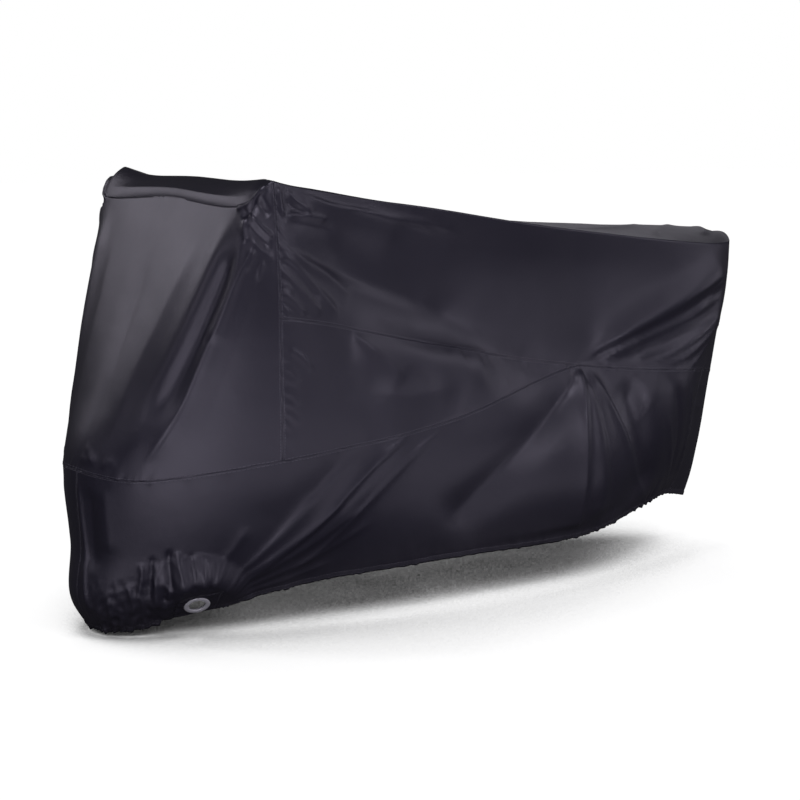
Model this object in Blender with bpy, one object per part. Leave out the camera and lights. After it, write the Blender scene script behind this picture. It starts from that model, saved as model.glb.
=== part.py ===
"""Fitted outdoor cover: cloth panels sewn into one hollow shell, with two lock eyelets in the hem.

Metres, +Z up. The front is -X and the near side is -Y. The tables give heights above the ground, and the
finished part is moved so that its origin lies under the cloth of the top, at the point that holds the cover up.
"""

from collections import namedtuple
from math import pi

import bpy
import numpy as np

# Driving dimensions
CLOTH = 0.0020  # coated cloth with its seam allowance
HEM_CLOTH = 0.0034  # the hem is turned up over its elastic
SEAM_GAP = 0.0004  # between neighbouring panels along their seam
TURN = 0.117  # how far the front is turned, in radians, towards the near side
TURN_PIVOT_X = -0.42  # the front turns about this upright line
TURN_BLEND = 0.30  # length over which the turn fades behind it
FAR_SAG = 0.014  # the far top edge hangs this much lower about its middle
EYELET_HOLE = 0.0215  # inner radius of the metal eyelet
EYELET_RIM = 0.0335  # outer radius of its flanges
EYELET_BARREL = 0.0227  # outer radius of the barrel through the cloth
EYELET_SIDES = 28
FIT_GAP = 0.0003  # between the eyelet and the cloth that it holds
TAB_SPLITS = 4  # points along each cell's edge round the tab
CLOTH_COLOUR = (0.030, 0.029, 0.040)
SHARP_ANGLE = 0.7

# Stations round the girth, from the middle of the nose to the middle of the rear, as metres of girth
NOSE, SHOULDER, ARCH, WAIST, TIP, TAIL, REAR = 0.0, 0.28, 0.52, 0.98, 1.48, 2.10, 2.26
STATIONS = (NOSE, SHOULDER, ARCH, WAIST, TIP, TAIL, REAR)
CELLS = (7, 6, 11, 11, 13, 7)  # cells between neighbouring stations
WAIST_X, TIP_X = 0.0, 0.513

# Plan outlines. down is the share of the way from the top edge to the hem; y values are half widths.
Level = namedtuple("Level", "down nose_x shoulder_x shoulder_y arch_x arch_y waist_y tip_y tail_x tail_y rear_x")
LEVELS = (
    Level(0.00, -0.600, -0.600, 0.342, -0.535, 0.385, 0.315, 0.235, 1.185, 0.112, 1.240),
    Level(0.12, -0.658, -0.642, 0.322, -0.530, 0.392, 0.288, 0.225, 1.170, 0.125, 1.230),
    Level(0.30, -0.748, -0.700, 0.288, -0.520, 0.388, 0.292, 0.240, 1.128, 0.145, 1.224),
    Level(0.44, -0.820, -0.738, 0.248, -0.510, 0.372, 0.330, 0.262, 1.065, 0.160, 1.213),
    Level(0.56, -0.880, -0.768, 0.215, -0.498, 0.358, 0.348, 0.300, 1.032, 0.168, 1.196),
    Level(0.80, -0.886, -0.782, 0.155, -0.486, 0.305, 0.338, 0.320, 1.012, 0.142, 1.164),
    Level(0.94, -0.888, -0.784, 0.128, -0.490, 0.248, 0.312, 0.288, 1.000, 0.110, 1.138),
    Level(1.00, -0.846, -0.768, 0.104, -0.500, 0.222, 0.296, 0.272, 0.985, 0.096, 1.118),
)

# Heights of the top edge, the two long seams and the hem at the stations
Height = namedtuple("Height", "girth edge seam_a seam_b hem")
HEIGHTS = (
    Height(NOSE, 1.093, 0.860, 0.434, 0.014),
    Height(SHOULDER, 1.083, 0.840, 0.418, 0.018),
    Height(ARCH, 1.142, 0.816, 0.456, 0.085),
    Height(WAIST, 1.062, 0.715, 0.505, 0.125),
    Height(TIP, 0.985, 0.610, 0.610, 0.122),
    Height(TAIL, 0.925, 0.545, 0.545, 0.157),
    Height(REAR, 0.945, 0.515, 0.515, 0.120),
)

# Main folds of the walls, each a soft ridge (or a trough, if its rise is negative) between two places given
# by girth and height. Widths are half widths at the two ends. Girths below 0 lie on the far side.
Fold = namedtuple("Fold", "girth height end_girth end_height width end_width rise")
FOLDS = (
    Fold(0.25, 1.07, 0.22, 0.43, 0.030, 0.050, 0.007),  # edge of the front face
    Fold(0.32, 1.00, 0.25, 0.55, 0.030, 0.045, -0.010),
    Fold(0.37, 1.01, 0.27, 0.45, 0.025, 0.040, 0.010),  # second ridge, from under the peak
    Fold(0.58, 1.10, 0.92, 0.99, 0.030, 0.050, 0.006),  # from the peak along the body
    Fold(0.62, 0.96, 1.05, 0.78, 0.040, 0.060, 0.008),
    Fold(0.58, 1.00, 1.42, 0.55, 0.065, 0.095, -0.016),  # dark hollow in the body's side
    Fold(0.72, 0.76, 1.20, 0.62, 0.060, 0.050, 0.012),  # swelling of the wedge
    Fold(0.90, 0.50, 0.45, 0.12, 0.050, 0.050, 0.007),  # long diagonal of the skirt
    Fold(0.78, 0.50, 0.46, 0.26, 0.060, 0.060, -0.005),
    Fold(1.44, 0.57, 1.00, 0.20, 0.045, 0.070, -0.012),  # cone below the wedge's tip
    Fold(1.50, 0.62, 1.55, 0.13, 0.040, 0.090, 0.022),
    Fold(1.64, 0.57, 1.80, 0.20, 0.050, 0.080, -0.016),
    Fold(1.54, 0.63, 2.03, 0.89, 0.045, 0.055, 0.014),  # rays from the tip to the tail's corner
    Fold(1.66, 0.62, 2.04, 0.76, 0.050, 0.055, -0.010),
    Fold(-0.24, 1.06, -0.23, 0.45, 0.035, 0.050, 0.008),  # the far side hangs much the same
    Fold(-0.35, 1.00, -0.27, 0.50, 0.030, 0.045, 0.009),
    Fold(-0.66, 1.02, -1.12, 0.80, 0.040, 0.070, 0.009),
    Fold(-0.64, 0.97, -1.40, 0.57, 0.065, 0.090, -0.013),
    Fold(-0.95, 0.50, -0.52, 0.13, 0.055, 0.055, 0.011),
    Fold(-1.42, 0.56, -1.08, 0.18, 0.050, 0.070, -0.010),
    Fold(-1.52, 0.60, -1.50, 0.13, 0.045, 0.080, 0.018),
    Fold(-1.58, 0.63, -2.02, 0.87, 0.050, 0.055, 0.012),
)
FOLD_FADE = 0.18  # share of a fold's length over which each end fades

# Rows of cells down the panels, and the skirt's rows as shares of its height
BODY_ROWS, WEDGE_ROWS = 7, 5
SKIRT_ROWS = (0.0, 0.14, 0.28, 0.42, 0.56, 0.69, 0.80, 0.905, 1.0)
EYELET_COLUMN, EYELET_ROW = 3, 7  # the eyelet's centre: a column behind the shoulder and a row of the skirt
TAB_REACH = 1  # the tab reaches this many cells round the centre
NOSE_SEAM_COLUMN = 1  # the skirt's nose seam is drawn this many columns to the near side
HOLD_ALONG = 0.45  # where along the top the origin lies, under the cloth
TAB_TUCK, TAB_DROP = 0.72, 0.008  # its lower edge is drawn in, so it leans this angle (rad), and down this far
TAB_FLAT, TAB_FLAT_FADE = 0.085, 0.060  # the cloth is flat this far round an eyelet, then eases out


def spline(knots, values, at):
    """Smooth curve through values at the knots, read at places. A value may be a row, with an entry a place."""
    knots, at = np.asarray(knots, float), np.asarray(at, float)
    values = np.asarray([np.broadcast_to(v, at.shape) for v in values], float)
    step = np.diff(knots).reshape(-1, *[1] * at.ndim)
    rise = np.diff(values, axis=0) / step
    inner = (rise[:-1] * step[1:] + rise[1:] * step[:-1]) / (step[:-1] + step[1:])
    slopes = np.concatenate([rise[:1], inner, rise[-1:]])
    i = np.clip(np.searchsorted(knots, at, side="right") - 1, 0, len(knots) - 2)
    h = knots[i + 1] - knots[i]
    t = (at - knots[i]) / h

    def pick(rows, j):
        return np.take_along_axis(rows, j[None], axis=0)[0]

    return (
        pick(values, i) * (2 * t**3 - 3 * t**2 + 1)
        + pick(values, i + 1) * (3 * t**2 - 2 * t**3)
        + h * pick(slopes, i) * (t**3 - 2 * t**2 + t)
        + h * pick(slopes, i + 1) * (t**3 - t**2)
    )


def ease(t):
    """0 below 0, 1 above 1, smooth between."""
    t = np.clip(t, 0.0, 1.0)
    return t * t * (3 - 2 * t)


def round_girth(values, girth, mirror=1.0):
    """Spline through one value for each station, carried on past the nose and the rear as if mirrored."""
    knots = (-SHOULDER, *STATIONS, 2 * REAR - TAIL)
    return spline(knots, (mirror * values[1], *values, mirror * values[-2]), np.abs(girth))


def peaked_girth(values, girth):
    """The same with a corner at the arch seam."""
    girth = np.abs(girth)
    knots = (-SHOULDER, *STATIONS, 2 * REAR - TAIL)
    values = (values[1], *values, values[-2])
    return np.where(girth < ARCH, spline(knots[:4], values[:4], girth), spline(knots[3:], values[3:], girth))


def height(column, girth):
    """Height of a named edge or seam at girth positions."""
    values = [getattr(row, column) for row in HEIGHTS]
    if column != "edge":
        return round_girth(values, girth)
    behind = np.clip((-girth - ARCH) / (REAR - ARCH), 0, 1)
    return peaked_girth(values, girth) - FAR_SAG * np.sin(pi * behind) ** 2


def plan(girth, down):
    """Plan position on the wall before the front is turned: girth is negative on the far side."""
    downs = [row.down for row in LEVELS]

    def at_level(column):
        return spline(downs, [getattr(row, column) for row in LEVELS], down)

    middle = (WAIST_X, TIP_X, at_level("tail_x"), at_level("rear_x"))
    x = round_girth((at_level("nose_x"), at_level("shoulder_x"), at_level("arch_x"), *middle), girth)
    widths = [at_level(c) for c in ("shoulder_y", "arch_y", "waist_y", "tip_y", "tail_y")]
    y = round_girth((0.0, *widths, 0.0), girth, mirror=-1.0)
    return x, np.where(girth >= 0, -y, y)


def turned(x, y):
    """The front part turned about its upright line."""
    angle = TURN * ease((TURN_PIVOT_X + TURN_BLEND - x) / TURN_BLEND)
    dx = x - TURN_PIVOT_X
    return TURN_PIVOT_X + dx * np.cos(angle) - y * np.sin(angle), dx * np.sin(angle) + y * np.cos(angle)


def wall(girth, z):
    """Points of the wall at girth positions and heights."""
    girth, z = np.broadcast_arrays(np.asarray(girth, float), np.asarray(z, float))
    edge, hem = height("edge", girth), height("hem", girth)
    x, y = turned(*plan(girth, (edge - z) / (edge - hem)))
    return np.stack([x, y, z], axis=-1)


def edge_point(girth):
    return wall(girth, height("edge", girth))


def roof(across, along):
    """Points of the top: across is -1 on the far edge and 1 on the near one, along is 0 in front, 1 behind."""
    across, along = np.broadcast_arrays(np.asarray(across, float), np.asarray(along, float))
    near, far = (1 + across[..., None]) / 2, (1 - across[..., None]) / 2
    back, ahead = along[..., None], 1 - along[..., None]
    front = edge_point(across * SHOULDER)
    rear = edge_point(np.where(across >= 0, 1, -1) * (REAR - (REAR - TAIL) * np.abs(across)))
    girth = SHOULDER + (TAIL - SHOULDER) * along
    sides = near * edge_point(girth) + far * edge_point(-girth)
    start, end = np.full(1, SHOULDER), np.full(1, TAIL)
    corners = ahead * (near * edge_point(start) + far * edge_point(-start))
    corners = corners + back * (near * edge_point(end) + far * edge_point(-end))
    point = ahead * front + back * rear + sides - corners
    point[..., 2] += crown(across, along)
    return point


def crown(across, along):
    """How far the top stands above, or sags below, the lines between its edges."""
    open_width = (1 - across**2) * ease(along / 0.12) * ease((1 - along) / 0.08)
    sag = -0.035 * np.exp(-(((along - 0.35) / 0.20) ** 2))
    hump = 0.022 * np.exp(-(((along - 0.88) / 0.16) ** 2))
    ends = ease((1 - np.abs(across)) / 0.14) * np.exp(-(((along - 0.13) / 0.08) ** 2))
    lift = 0.022 * np.exp(-(((across + 0.88) / 0.30) ** 2)) + 0.008 * np.exp(-(((across - 0.88) / 0.30) ** 2))
    return open_width * (sag + hump) + ends * lift


def girth_lines():
    """Girth positions of the mesh columns from the nose to the rear, and each station's column."""
    lines, first = [NOSE], {NOSE: 0}
    for start, end, cells in zip(STATIONS, STATIONS[1:], CELLS):
        lines += [start + (end - start) * (i + 1) / cells for i in range(cells)]
        first[end] = len(lines) - 1
    return np.array(lines), first


def wall_rise(girth, z):
    """How far the main folds lift the wall's surface."""
    girth, z = np.broadcast_arrays(girth, z)
    rise = np.zeros(girth.shape)
    for fold in FOLDS:
        run = np.array((fold.end_girth - fold.girth, fold.end_height - fold.height))
        length = np.linalg.norm(run)
        run /= length
        along = ((girth - fold.girth) * run[0] + (z - fold.height) * run[1]) / length
        off = (girth - fold.girth) * run[1] - (z - fold.height) * run[0]
        width = fold.width + (fold.end_width - fold.width) * np.clip(along, 0, 1)
        ends = ease(along / FOLD_FADE) * ease((1 - along) / FOLD_FADE)
        rise += fold.rise * np.exp(-((off / width) ** 2)) * ends
    return rise


class Skin:
    """The whole shell as one surface, each cell marked with the panel it belongs to."""

    def __init__(self):
        self.points, self.rises, self.known, self.cells = [], [], {}, []

    def vertex(self, point, rise):
        key = tuple(round(float(c), 5) for c in point)
        if key not in self.known:
            self.known[key] = len(self.points)
            self.points.append(point)
            self.rises.append(rise)
        return self.known[key]

    def grid(self, panel_of, rows, rises, flip):
        """Cells between rows of points, corners anticlockwise from outside. panel_of names a cell's panel."""
        ids = [[self.vertex(*pair) for pair in zip(row, rise)] for row, rise in zip(rows, rises)]
        for j, (upper, lower) in enumerate(zip(ids, ids[1:])):
            for i in range(len(upper) - 1):
                corners = [upper[i], lower[i], lower[i + 1], upper[i + 1]]
                corners = [v for k, v in enumerate(corners) if v != corners[k - 1]]
                self.cells.append((panel_of(i, j), corners[::-1] if flip else corners))
        return ids


def even(count):
    return np.arange(count + 1) / count


def skirt_panel(side, column, row, columns):
    """The lower piece that a cell belongs to. The nose seam and the rear seam both lie on the near side."""
    centre = columns[SHOULDER] + EYELET_COLUMN
    if abs(column + 0.5 - centre) < TAB_REACH and row >= EYELET_ROW - TAB_REACH:
        return "eyelet_tab_near" if side > 0 else "eyelet_tab_far"
    return "skirt_near" if side > 0 and NOSE_SEAM_COLUMN <= column < columns[TAIL] else "skirt_far"


def build_skin():
    """The draped surface: vertex positions, cells, and the vertex at each eyelet's centre."""
    skin, centres = Skin(), {}
    girths, columns = girth_lines()
    arch, tip, shoulder, tail = columns[ARCH], columns[TIP], columns[SHOULDER], columns[TAIL]
    for side, name in ((1, "near"), (-1, "far")):
        signed = side * girths
        edge, seam_a, hem = height("edge", signed), height("seam_a", signed), height("hem", signed)
        seam_b = np.where(girths < TIP, height("seam_b", signed), seam_a)
        # The front panel's rows meet those of both panels behind the arch seam
        share = (edge[arch] - seam_a[arch]) / (edge[arch] - seam_b[arch])
        front_rows = np.concatenate([share * even(BODY_ROWS), share + (1 - share) * even(WEDGE_ROWS)[1:]])
        sheets = (
            ("front_panel", slice(arch + 1), edge, seam_b, front_rows),
            ("body_panel", slice(arch, None), edge, seam_a, even(BODY_ROWS)),
            (f"wedge_{name}", slice(arch, tip + 1), seam_a, seam_b, even(WEDGE_ROWS)),
            (None, slice(None), seam_b, hem, np.array(SKIRT_ROWS)),
        )
        for panel, part, top, bottom, shares in sheets:
            z = top[part] + (bottom - top)[part] * shares[:, None]
            ids = skin.grid(
                lambda i, j: panel or skirt_panel(side, i, j, columns),
                wall(signed[part], z),
                wall_rise(signed[part], z),
                side < 0,
            )
        centres[name] = ids[EYELET_ROW][shoulder + EYELET_COLUMN]
    across = girths[: shoulder + 1] / SHOULDER
    across = np.concatenate([-across[:0:-1], across])
    along = (girths[shoulder : tail + 1] - SHOULDER) / (TAIL - SHOULDER)
    top = roof(across, along[:, None])
    ahead = arch - shoulder
    skin.grid(lambda i, j: "front_panel" if j < ahead else "body_panel", top, np.zeros(top.shape[:2]), True)

    points = np.array(skin.points)
    points += normals_of(points, skin.cells) * np.array(skin.rises)[:, None]
    for centre in centres.values():
        normal = normals_of(points, skin.cells)[centre]
        flat = np.array((normal[0], normal[1], 0)) / np.hypot(normal[0], normal[1])
        normal = flat * np.cos(TAB_TUCK) - (0, 0, np.sin(TAB_TUCK))
        away = points - points[centre]
        share = 1 - ease((np.linalg.norm(away, axis=1) - TAB_FLAT) / TAB_FLAT_FADE)
        points -= share[:, None] * ((away @ normal)[:, None] * normal + (0, 0, TAB_DROP))
    return points, skin.cells, centres


def normals_of(points, cells):
    """Outward unit normal of each vertex."""
    found = np.zeros_like(points)
    for _, ids in cells:
        a, b, c, d = points[ids[0]], points[ids[1]], points[ids[2]], points[ids[-1]]
        normal = np.cross(b - a, c - a) + np.cross(c - a, d - a)
        for v in ids:
            found[v] += normal
    return found / np.linalg.norm(found, axis=1)[:, None]


def border(cells):
    """Edges of these cells that belong to one of them only, each as (from, to) with the cells on its left."""
    edges = [(ids[k], ids[(k + 1) % len(ids)]) for ids in cells for k in range(len(ids))]
    known = set(edges)
    return [edge for edge in edges if edge[::-1] not in known]


def seam_shifts(points, normals, edges, free):
    """How far each border vertex draws back into its own panel, which leaves half a seam's gap on sewn edges."""
    inward = {}
    for a, b in edges:
        if (a, b) not in free:
            across = np.cross(normals[a] + normals[b], points[b] - points[a])
            across /= np.linalg.norm(across)
            inward.setdefault(a, []).append(across)
            inward.setdefault(b, []).append(across)
    shifts = {}
    for v, ways in inward.items():
        total = sum(ways)
        reach = len(ways) / (total @ total) if len(ways) > 1 else 1.0
        shifts[v] = total * reach * SEAM_GAP / 2
    return shifts


def add_object(name, points, faces, material):
    mesh = bpy.data.meshes.new(name)
    mesh.from_pydata([tuple(p) for p in points], [], faces)
    mesh.materials.append(material)
    mesh.shade_smooth()
    mesh.set_sharp_from_angle(angle=SHARP_ANGLE)
    item = bpy.data.objects.new(name, mesh)
    bpy.context.scene.collection.objects.link(item)
    return item


def triangles(points, ids):
    """A cell cut along its shorter diagonal, so that a sheet's outer and inner faces bend along the same lines."""
    if len(ids) == 3:
        return [tuple(ids)]
    a, b, c, d = ids
    if np.linalg.norm(points[a] - points[c]) < np.linalg.norm(points[b] - points[d]):
        return [(a, b, c), (a, c, d)]
    return [(a, b, d), (b, c, d)]


def cloth_solid(name, points, normals, thickness, cells, edges, shifts, material):
    """A sheet with an outer face, an inner face and a rim, closed all round."""
    used = sorted({v for ids in cells for v in ids})
    place = {v: k for k, v in enumerate(used)}
    outer = [points[v] + shifts.get(v, 0) for v in used]
    inner = [p - normals[v] * thickness[v] for p, v in zip(outer, used)]
    count = len(used)
    cut = [ids for cell in cells for ids in triangles(points, cell)]
    faces = [tuple(place[v] for v in ids) for ids in cut]
    faces += [tuple(place[v] + count for v in reversed(ids)) for ids in cut]
    faces += [(place[b], place[a], place[a] + count, place[b] + count) for a, b in edges]
    return add_object(name, outer + inner, faces, material)


def ordered(edges):
    """The border's vertices in order, from its edges."""
    following = dict(edges)
    loop = [edges[0][0]]
    while following[loop[-1]] != loop[0]:
        loop.append(following[loop[-1]])
    return loop


def tab_solid(name, points, normals, loop, shifts, centre, normal, material):
    """The flat patch round an eyelet: its border follows the skirt, and its hole is round."""
    corners = [points[v] + shifts.get(v, 0) for v in loop]
    slants = [normals[v] for v in loop]
    outer, ways = [], []
    for k, corner in enumerate(corners):
        for part in range(TAB_SPLITS):
            share, after = part / TAB_SPLITS, (k + 1) % len(corners)
            outer.append(corner * (1 - share) + corners[after] * share)
            ways.append(slants[k] * (1 - share) + slants[after] * share)
    hole = []
    for point in outer:
        away = point - centre
        away -= normal * (away @ normal)
        hole.append(centre + away / np.linalg.norm(away) * (EYELET_BARREL + 2 * FIT_GAP))
    hole_back = [p - normal * HEM_CLOTH for p in hole]
    outer_back = [p - way * HEM_CLOTH for p, way in zip(outer, ways)]
    return ring_solid(name, [outer, hole, hole_back, outer_back], material)


def ring_solid(name, rings, material):
    """A closed solid round a hole, from loops of points that follow its section: inwards, then back outwards."""
    count = len(rings[0])
    faces = []
    for r in range(len(rings)):
        here, there = r * count, (r + 1) % len(rings) * count
        for k in range(count):
            after = (k + 1) % count
            faces.append((here + k, here + after, there + after, there + k))
    return add_object(name, [p for ring in rings for p in ring], faces, material)


def eyelet_solid(name, centre, normal, material):
    """The metal eyelet: a flange with a rolled lip outside, a barrel through the cloth and a washer behind it."""
    side = np.cross(normal, (0, 0, 1))
    side /= np.linalg.norm(side)
    up = np.cross(normal, side)
    back = -HEM_CLOTH
    profile = (
        (EYELET_HOLE, back - 0.0016),
        (EYELET_RIM - 0.003, back - 0.0016),
        (EYELET_RIM - 0.003, back - FIT_GAP),
        (EYELET_BARREL, back - FIT_GAP),
        (EYELET_BARREL, FIT_GAP),
        (EYELET_RIM, FIT_GAP),
        (EYELET_RIM - 0.002, 0.0016),
        (EYELET_HOLE + 0.006, 0.0026),
        (EYELET_HOLE + 0.0015, 0.0023),
        (EYELET_HOLE, 0.0012),
    )
    angles = [2 * pi * k / EYELET_SIDES for k in range(EYELET_SIDES)]
    rings = [
        [centre + normal * h + r * (side * np.cos(a) + up * np.sin(a)) for a in angles] for r, h in profile
    ]
    return ring_solid(name, rings, material)


def make_material(name, colour, roughness, metallic):
    made = bpy.data.materials.new(name)
    made.use_nodes = True
    shader = made.node_tree.nodes["Principled BSDF"]
    shader.inputs["Base Color"].default_value = (*colour, 1.0)
    shader.inputs["Roughness"].default_value = roughness
    shader.inputs["Metallic"].default_value = metallic
    return made


def main():
    for item in list(bpy.data.objects):
        bpy.data.objects.remove(item)
    points, cells, centres = build_skin()
    normals = normals_of(points, cells)
    hold = roof(np.zeros(1), np.full(1, HOLD_ALONG))[0]
    points = points - (hold - (0, 0, CLOTH + FIT_GAP))

    all_ids = [ids for _, ids in cells]
    free = set(border(all_ids))
    thickness = np.full(len(points), CLOTH)
    thickness[list({v for edge in free for v in edge})] = HEM_CLOTH
    metal = make_material("eyelet_metal", (0.80, 0.80, 0.82), 0.25, 1.0)
    for panel in sorted({panel for panel, _ in cells}):
        own = [ids for name, ids in cells if name == panel]
        edges = border(own)
        shifts = seam_shifts(points, normals, edges, free)
        cloth = make_material(panel + "_cloth", CLOTH_COLOUR, 0.42, 0.0)
        if panel.startswith("eyelet_tab"):
            centre = centres[panel.rsplit("_", 1)[1]]
            loop = ordered(edges)
            tab_solid(panel, points, normals, loop, shifts, points[centre], normals[centre], cloth)
            eyelet_solid(panel.replace("_tab", ""), points[centre], normals[centre], metal)
        else:
            cloth_solid(panel, points, normals, thickness, own, edges, shifts, cloth)


if __name__ == "__main__":
    main()
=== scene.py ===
"""Looks of a fitted outdoor cover: creased, sewn cloth, its gathered hem and two metal eyelets.

Metres, +Z up. The front is -X and the near side is -Y. The tables give heights above the ground, as
the solids' source does, and the skin is moved so that the origin lies under the cloth of the top.
"""

from collections import namedtuple
from math import pi

import bpy
import numpy as np
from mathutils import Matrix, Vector


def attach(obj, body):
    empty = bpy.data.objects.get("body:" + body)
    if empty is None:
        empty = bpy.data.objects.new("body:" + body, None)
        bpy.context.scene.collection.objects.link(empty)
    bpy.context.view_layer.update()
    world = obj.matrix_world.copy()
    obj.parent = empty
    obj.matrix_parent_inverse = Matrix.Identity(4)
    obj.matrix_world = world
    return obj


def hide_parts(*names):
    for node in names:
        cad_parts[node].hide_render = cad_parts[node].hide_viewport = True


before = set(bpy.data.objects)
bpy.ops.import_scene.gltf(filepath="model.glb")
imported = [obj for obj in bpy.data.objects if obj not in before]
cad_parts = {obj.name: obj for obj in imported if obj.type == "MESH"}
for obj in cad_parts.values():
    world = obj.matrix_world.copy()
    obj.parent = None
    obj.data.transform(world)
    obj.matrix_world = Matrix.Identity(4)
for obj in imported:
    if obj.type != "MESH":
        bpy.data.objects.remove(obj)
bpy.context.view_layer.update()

# The drape, as in the solids' source
CLOTH = 0.0020
FIT_GAP = 0.0003
TURN, TURN_PIVOT_X, TURN_BLEND = 0.117, -0.42, 0.30
FAR_SAG = 0.014
HOLD_ALONG = 0.45
TAB_DROP, TAB_FLAT, TAB_FLAT_FADE = 0.008, 0.085, 0.060
TAB_GIRTH, TAB_SHARE = (0.36, 0.44), 0.80  # the patch's ends along the girth, its top down the skirt
NOSE_SEAM = 0.04
EYELET_RIM, EYELET_LIP = 0.0335, 0.0026
PATCH_HOLE, PATCH_QUIET = 0.0233, 0.022  # radius of the patch's hole, and the smooth cloth round the rim

# The cloth as it looks
THIN, HEM_THIN = 0.0009, 0.0026  # cloth, and the hem turned up over its elastic
HEM_TURN, HEM_TURN_FADE = 0.016, 0.004  # how far up the turned hem reaches
SEAM_GAP = 0.0003
WEAVE = 0.0011  # pitch of the threads
STITCH, STITCH_PITCH = 0.0045, 0.0042  # the row's distance from its seam, and a stitch with its gap
WELT, WELT_AWAY, WELT_WIDTH = 0.00022, 0.0045, 0.0032  # the folded edges that stand up beside a seam
GROOVE_SHARE, GROOVE_WIDTH = 1.3, 0.0016
HEM_BAND, HEM_RISE, HEM_GROOVE = 0.014, 0.0010, 0.0009
ROUGHNESS = 0.42
CLOTH_COLOUR, WORN_COLOUR = (0.013, 0.012, 0.022), (0.060, 0.058, 0.072)
DUST_COLOUR, THREAD_COLOUR = (0.085, 0.080, 0.080), (0.075, 0.073, 0.090)

# Uneven parts, each from its own seed
SWELL_RISE, SWELL_LENGTH = 0.0005, 0.30
RIPPLE_RISE, RIPPLE_LENGTH = 0.00010, 0.075
TOE_RISE, TOE_LENGTH = 0.0034, 0.042
TOE_TOP, TOE_GIRTH = 0.17, (0.06, 0.40)
SWELL_SEED, RIPPLE_SEED, TOE_SEED, PUCKER_SEED, FAR_SEED = 3, 5, 21, 7, 41
FAR_SKIP, FAR_START = 0.25, 0.12  # share of the creases that the far side lacks, and where its own start
FAR_NUDGE, NUDGE_START = 0.012, 0.55

# Lines of the mesh: extra ones beside a seam, the spans of columns from the nose, and the spans of
# rows down a panel of this depth (< or > marks a seam at an end)
SEAM_STEPS = np.array((0.0, 0.0015, 0.0035, 0.0060, 0.0095, 0.0135))
SPANS = (
    (0.00, 0.04, 0.0065, ">"), (0.04, 0.14, 0.0065, "<"), (0.14, 0.28, 0.0055, ""),
    (0.28, 0.36, 0.0040, ""), (0.36, 0.44, 0.0040, ""), (0.44, 0.52, 0.0040, ">"),
    (0.52, 0.78, 0.0052, "<"), (0.78, 1.42, 0.0118, ""), (1.42, 1.48, 0.0060, ""),
    (1.48, 1.66, 0.0060, ""), (1.66, 2.10, 0.0090, ">"),
)
BODY_ROWS = ((0, 0.15, 0.0052, ""), (0.15, 0.34, 0.0085, ">"))
WEDGE_ROWS = ((0, 0.36, 0.0085, "<>"),)
SKIRT_ROWS = ((0, 0.32, 0.0062, "<"), (0.32, 0.40, 0.0050, ""))
PATCH_RINGS = 12

# The eyelet's section: radius and height above the cloth's outer face
EYELET_SIDES = 96
EYELET_PROFILE = (
    (0.0215, -0.0046), (0.0300, -0.0046), (0.0305, -0.0042), (0.0305, -0.0037),
    (0.0227, -0.0037), (0.0227, 0.0003), (0.0331, 0.0003), (0.0335, 0.0007),
    (0.0333, 0.0012), (0.0322, 0.0018), (0.0300, 0.0024), (0.0275, 0.0026),
    (0.0250, 0.0025), (0.0232, 0.0021), (0.0220, 0.0014), (0.0215, 0.0005),
)

# Each panel's cut: the size of the cloth it is cut from, and its own flat area
Cut = namedtuple("Cut", "size area rests_on")
CUTS = {
    "front_panel": Cut((1.30, 0.95), 0.78, ["wedge_near", "wedge_far"]),
    "body_panel": Cut((1.95, 1.45), 2.34, ["front_panel"]),
    "wedge_near": Cut((1.00, 0.40), 0.20, ["body_panel"]),
    "wedge_far": Cut((1.00, 0.40), 0.216, ["body_panel"]),
    "skirt_near": Cut((2.20, 0.50), 0.86, ["body_panel", "front_panel"]),
    "skirt_far": Cut((2.50, 0.50), 1.07, ["body_panel", "front_panel"]),
    "eyelet_tab_near": Cut((0.085, 0.085), None, ["skirt_near"]),
    "eyelet_tab_far": Cut((0.085, 0.085), None, ["skirt_far"]),
}

# Studio
FLOOR, FLOOR_HALF = -1.0224, 30
CAMERA, CAMERA_AIM, LENS = (-2.337, -3.864, 0.255), (-0.061, 0.0, -0.512), 73.1
WORLD_LIGHT, FLOOR_LIGHT = 0.05, 0.012
COOL = (0.90, 0.86, 1.0)
Light = namedtuple("Light", "name place aim size power colour", defaults=(COOL,))
LIGHTS = (
    Light("key", (-3.0, 2.9, 1.7), (-0.6, 0.0, -0.1), (2.0, 1.6), 26.0, (0.93, 0.89, 1.0)),
    Light("right", (3.8, -2.3, 1.7), (0.3, 0.0, -0.2), (2.0, 1.6), 16.0),
    Light("right_low", (4.4, -1.3, -0.2), (0.3, 0.0, -0.2), (1.0, 1.0), 6.0),
    Light("near", (1.9, -4.3, 0.3), (0.5, 0.0, -0.4), (0.9, 1.2), 20.0),
    Light("high", (-0.9, -3.4, 3.0), (0.0, 0.0, -0.3), (2.6, 1.6), 70.0),
    Light("floor_mid", (0.0, -1.20, -1.0), (0.0, -1.19, 0.0), (2.0, 0.9), 4.2),
    Light("floor_front", (-1.4, -1.15, -1.0), (-1.4, -1.14, 0.0), (1.0, 1.0), 5.0),
    Light("card", (-2.5, -2.4, -0.65), (-0.4, -0.2, -0.7), (1.4, 0.7), 9.0),
    Light("left", (-4.4, -0.6, 0.9), (-0.6, 0.0, -0.3), (1.4, 1.2), 9.0),
    Light("rim", (3.3, 3.4, 1.4), (0.5, 0.0, -0.1), (2.6, 1.3), 8.0, (0.93, 0.90, 1.0)),
)

# Stations round the girth, from the middle of the nose to the middle of the rear, as metres of girth
NOSE, SHOULDER, ARCH, WAIST, TIP, TAIL, REAR = 0.0, 0.28, 0.52, 0.98, 1.48, 2.10, 2.26
STATIONS = (NOSE, SHOULDER, ARCH, WAIST, TIP, TAIL, REAR)
WAIST_X, TIP_X = 0.0, 0.513

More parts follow.
